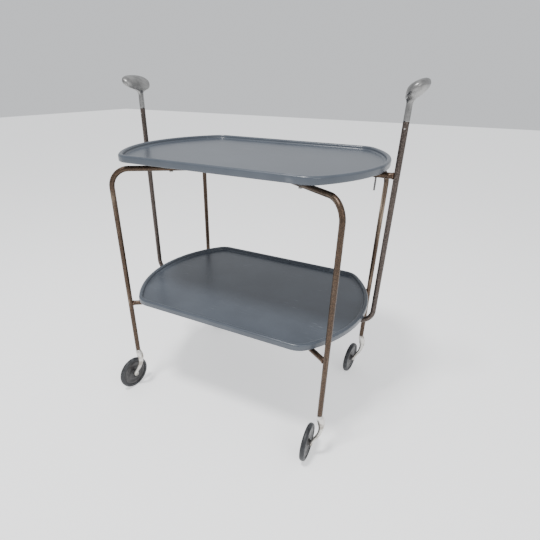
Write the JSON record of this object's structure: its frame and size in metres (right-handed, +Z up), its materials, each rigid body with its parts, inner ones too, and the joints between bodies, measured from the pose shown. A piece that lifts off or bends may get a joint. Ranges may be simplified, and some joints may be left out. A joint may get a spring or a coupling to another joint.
{
  "type": "two-tray rolling trolley",
  "caption": "Rolling salon trolley with two rimmed trays on crossing bent-tube legs, upright end handles with cast grips, and swivelling castors.",
  "frame": {"origin": "on the floor, midway between the four legs", "axes": "+X lengthwise from the left handle to the right handle, +Y across the trays, away from the side that three of the four castors trail to, +Z up"},
  "size_m": [0.6972, 0.479, 0.7972],
  "materials": {
    "tray_plastic": "grey-blue moulded plastic, satin, lightly scratched",
    "frame_tube": "plated steel tube, tarnished brown with bright patches",
    "steel": "plain steel",
    "black_plastic": "black plastic",
    "cast_aluminium": "dull cast aluminium",
    "bush_steel": "turned steel",
    "cap_metal": "pressed steel",
    "brass": "plain brass",
    "wheel_disc": "dark moulded plastic",
    "tyre": "dark rubber"
  },
  "bodies": {
    "frame": {"upper_tray": "tray_plastic", "lower_tray": "tray_plastic", "leg_arch": "frame_tube", "half_arch_right": "frame_tube", "half_arch_left": "frame_tube", "lower_long_bar": "frame_tube", "lower_short_bar_right": "frame_tube", "lower_short_bar_left": "frame_tube", "handle_rail": "frame_tube", "handle_upright_right": "frame_tube", "handle_upright_left": "frame_tube", "upper_tie": "frame_tube", "stop_pin": "steel", "upper_saddles": "black_plastic", "upper_screws": "steel", "lower_saddles": "black_plastic", "lower_screws": "steel", "grip_left": "cast_aluminium", "grip_right": "cast_aluminium", "grip_rivets": "steel", "stem_bush_front_left": "bush_steel", "stem_bush_front_right": "bush_steel", "stem_bush_back_left": "bush_steel", "stem_bush_back_right": "bush_steel"},
    "castor_front_left": {"stem_front_left": "steel", "stem_clip_front_left": "steel", "castor_arm_front_left": "cast_aluminium", "axle_front_left": "steel", "hub_cap_front_left": "cap_metal"},
    "wheel_front_left": {"wheel_bearing_front_left": "brass", "wheel_disc_front_left": "wheel_disc", "tyre_front_left": "tyre"},
    "castor_front_right": {"stem_front_right": "steel", "stem_clip_front_right": "steel", "castor_arm_front_right": "cast_aluminium", "axle_front_right": "steel", "hub_cap_front_right": "cap_metal"},
    "wheel_front_right": {"wheel_bearing_front_right": "brass", "wheel_disc_front_right": "wheel_disc", "tyre_front_right": "tyre"},
    "castor_back_left": {"stem_back_left": "steel", "stem_clip_back_left": "steel", "castor_arm_back_left": "cast_aluminium", "axle_back_left": "steel", "hub_cap_back_left": "cap_metal"},
    "wheel_back_left": {"wheel_bearing_back_left": "brass", "wheel_disc_back_left": "wheel_disc", "tyre_back_left": "tyre"},
    "castor_back_right": {"stem_back_right": "steel", "stem_clip_back_right": "steel", "castor_arm_back_right": "cast_aluminium", "axle_back_right": "steel", "hub_cap_back_right": "cap_metal"},
    "wheel_back_right": {"wheel_bearing_back_right": "brass", "wheel_disc_back_right": "wheel_disc", "tyre_back_right": "tyre"}
  },
  "joints": [
    {"name": "castor_swivel_front_left", "type": "hinge", "parent": "frame", "child": "castor_front_left", "pos_m": [-0.26705, -0.184, 0.127], "axis": [0, 0, 1], "continuous": true},
    {"name": "wheel_spin_front_left", "type": "hinge", "parent": "castor_front_left", "child": "wheel_front_left", "pos_m": [-0.28852, -0.1931, 0.045], "axis": [0.9903, -0.1392, 0], "continuous": true},
    {"name": "castor_swivel_front_right", "type": "hinge", "parent": "frame", "child": "castor_front_right", "pos_m": [0.26705, -0.184, 0.127], "axis": [0, 0, 1], "continuous": true},
    {"name": "wheel_spin_front_right", "type": "hinge", "parent": "castor_front_right", "child": "wheel_front_right", "pos_m": [0.2477, -0.19703, 0.045], "axis": [0.9986, 0.0523, 0], "continuous": true},
    {"name": "castor_swivel_back_left", "type": "hinge", "parent": "frame", "child": "castor_back_left", "pos_m": [-0.26705, 0.184, 0.127], "axis": [0, 0, 1], "continuous": true},
    {"name": "wheel_spin_back_left", "type": "hinge", "parent": "castor_back_left", "child": "wheel_back_left", "pos_m": [-0.24527, 0.19234, 0.045], "axis": [-0.9848, 0.1736, 0], "continuous": true},
    {"name": "castor_swivel_back_right", "type": "hinge", "parent": "frame", "child": "castor_back_right", "pos_m": [0.26705, 0.184, 0.127], "axis": [0, 0, 1], "continuous": true},
    {"name": "wheel_spin_back_right", "type": "hinge", "parent": "castor_back_right", "child": "wheel_back_right", "pos_m": [0.2459, 0.17416, 0.045], "axis": [0.9945, -0.1045, 0], "continuous": true}
  ]
}
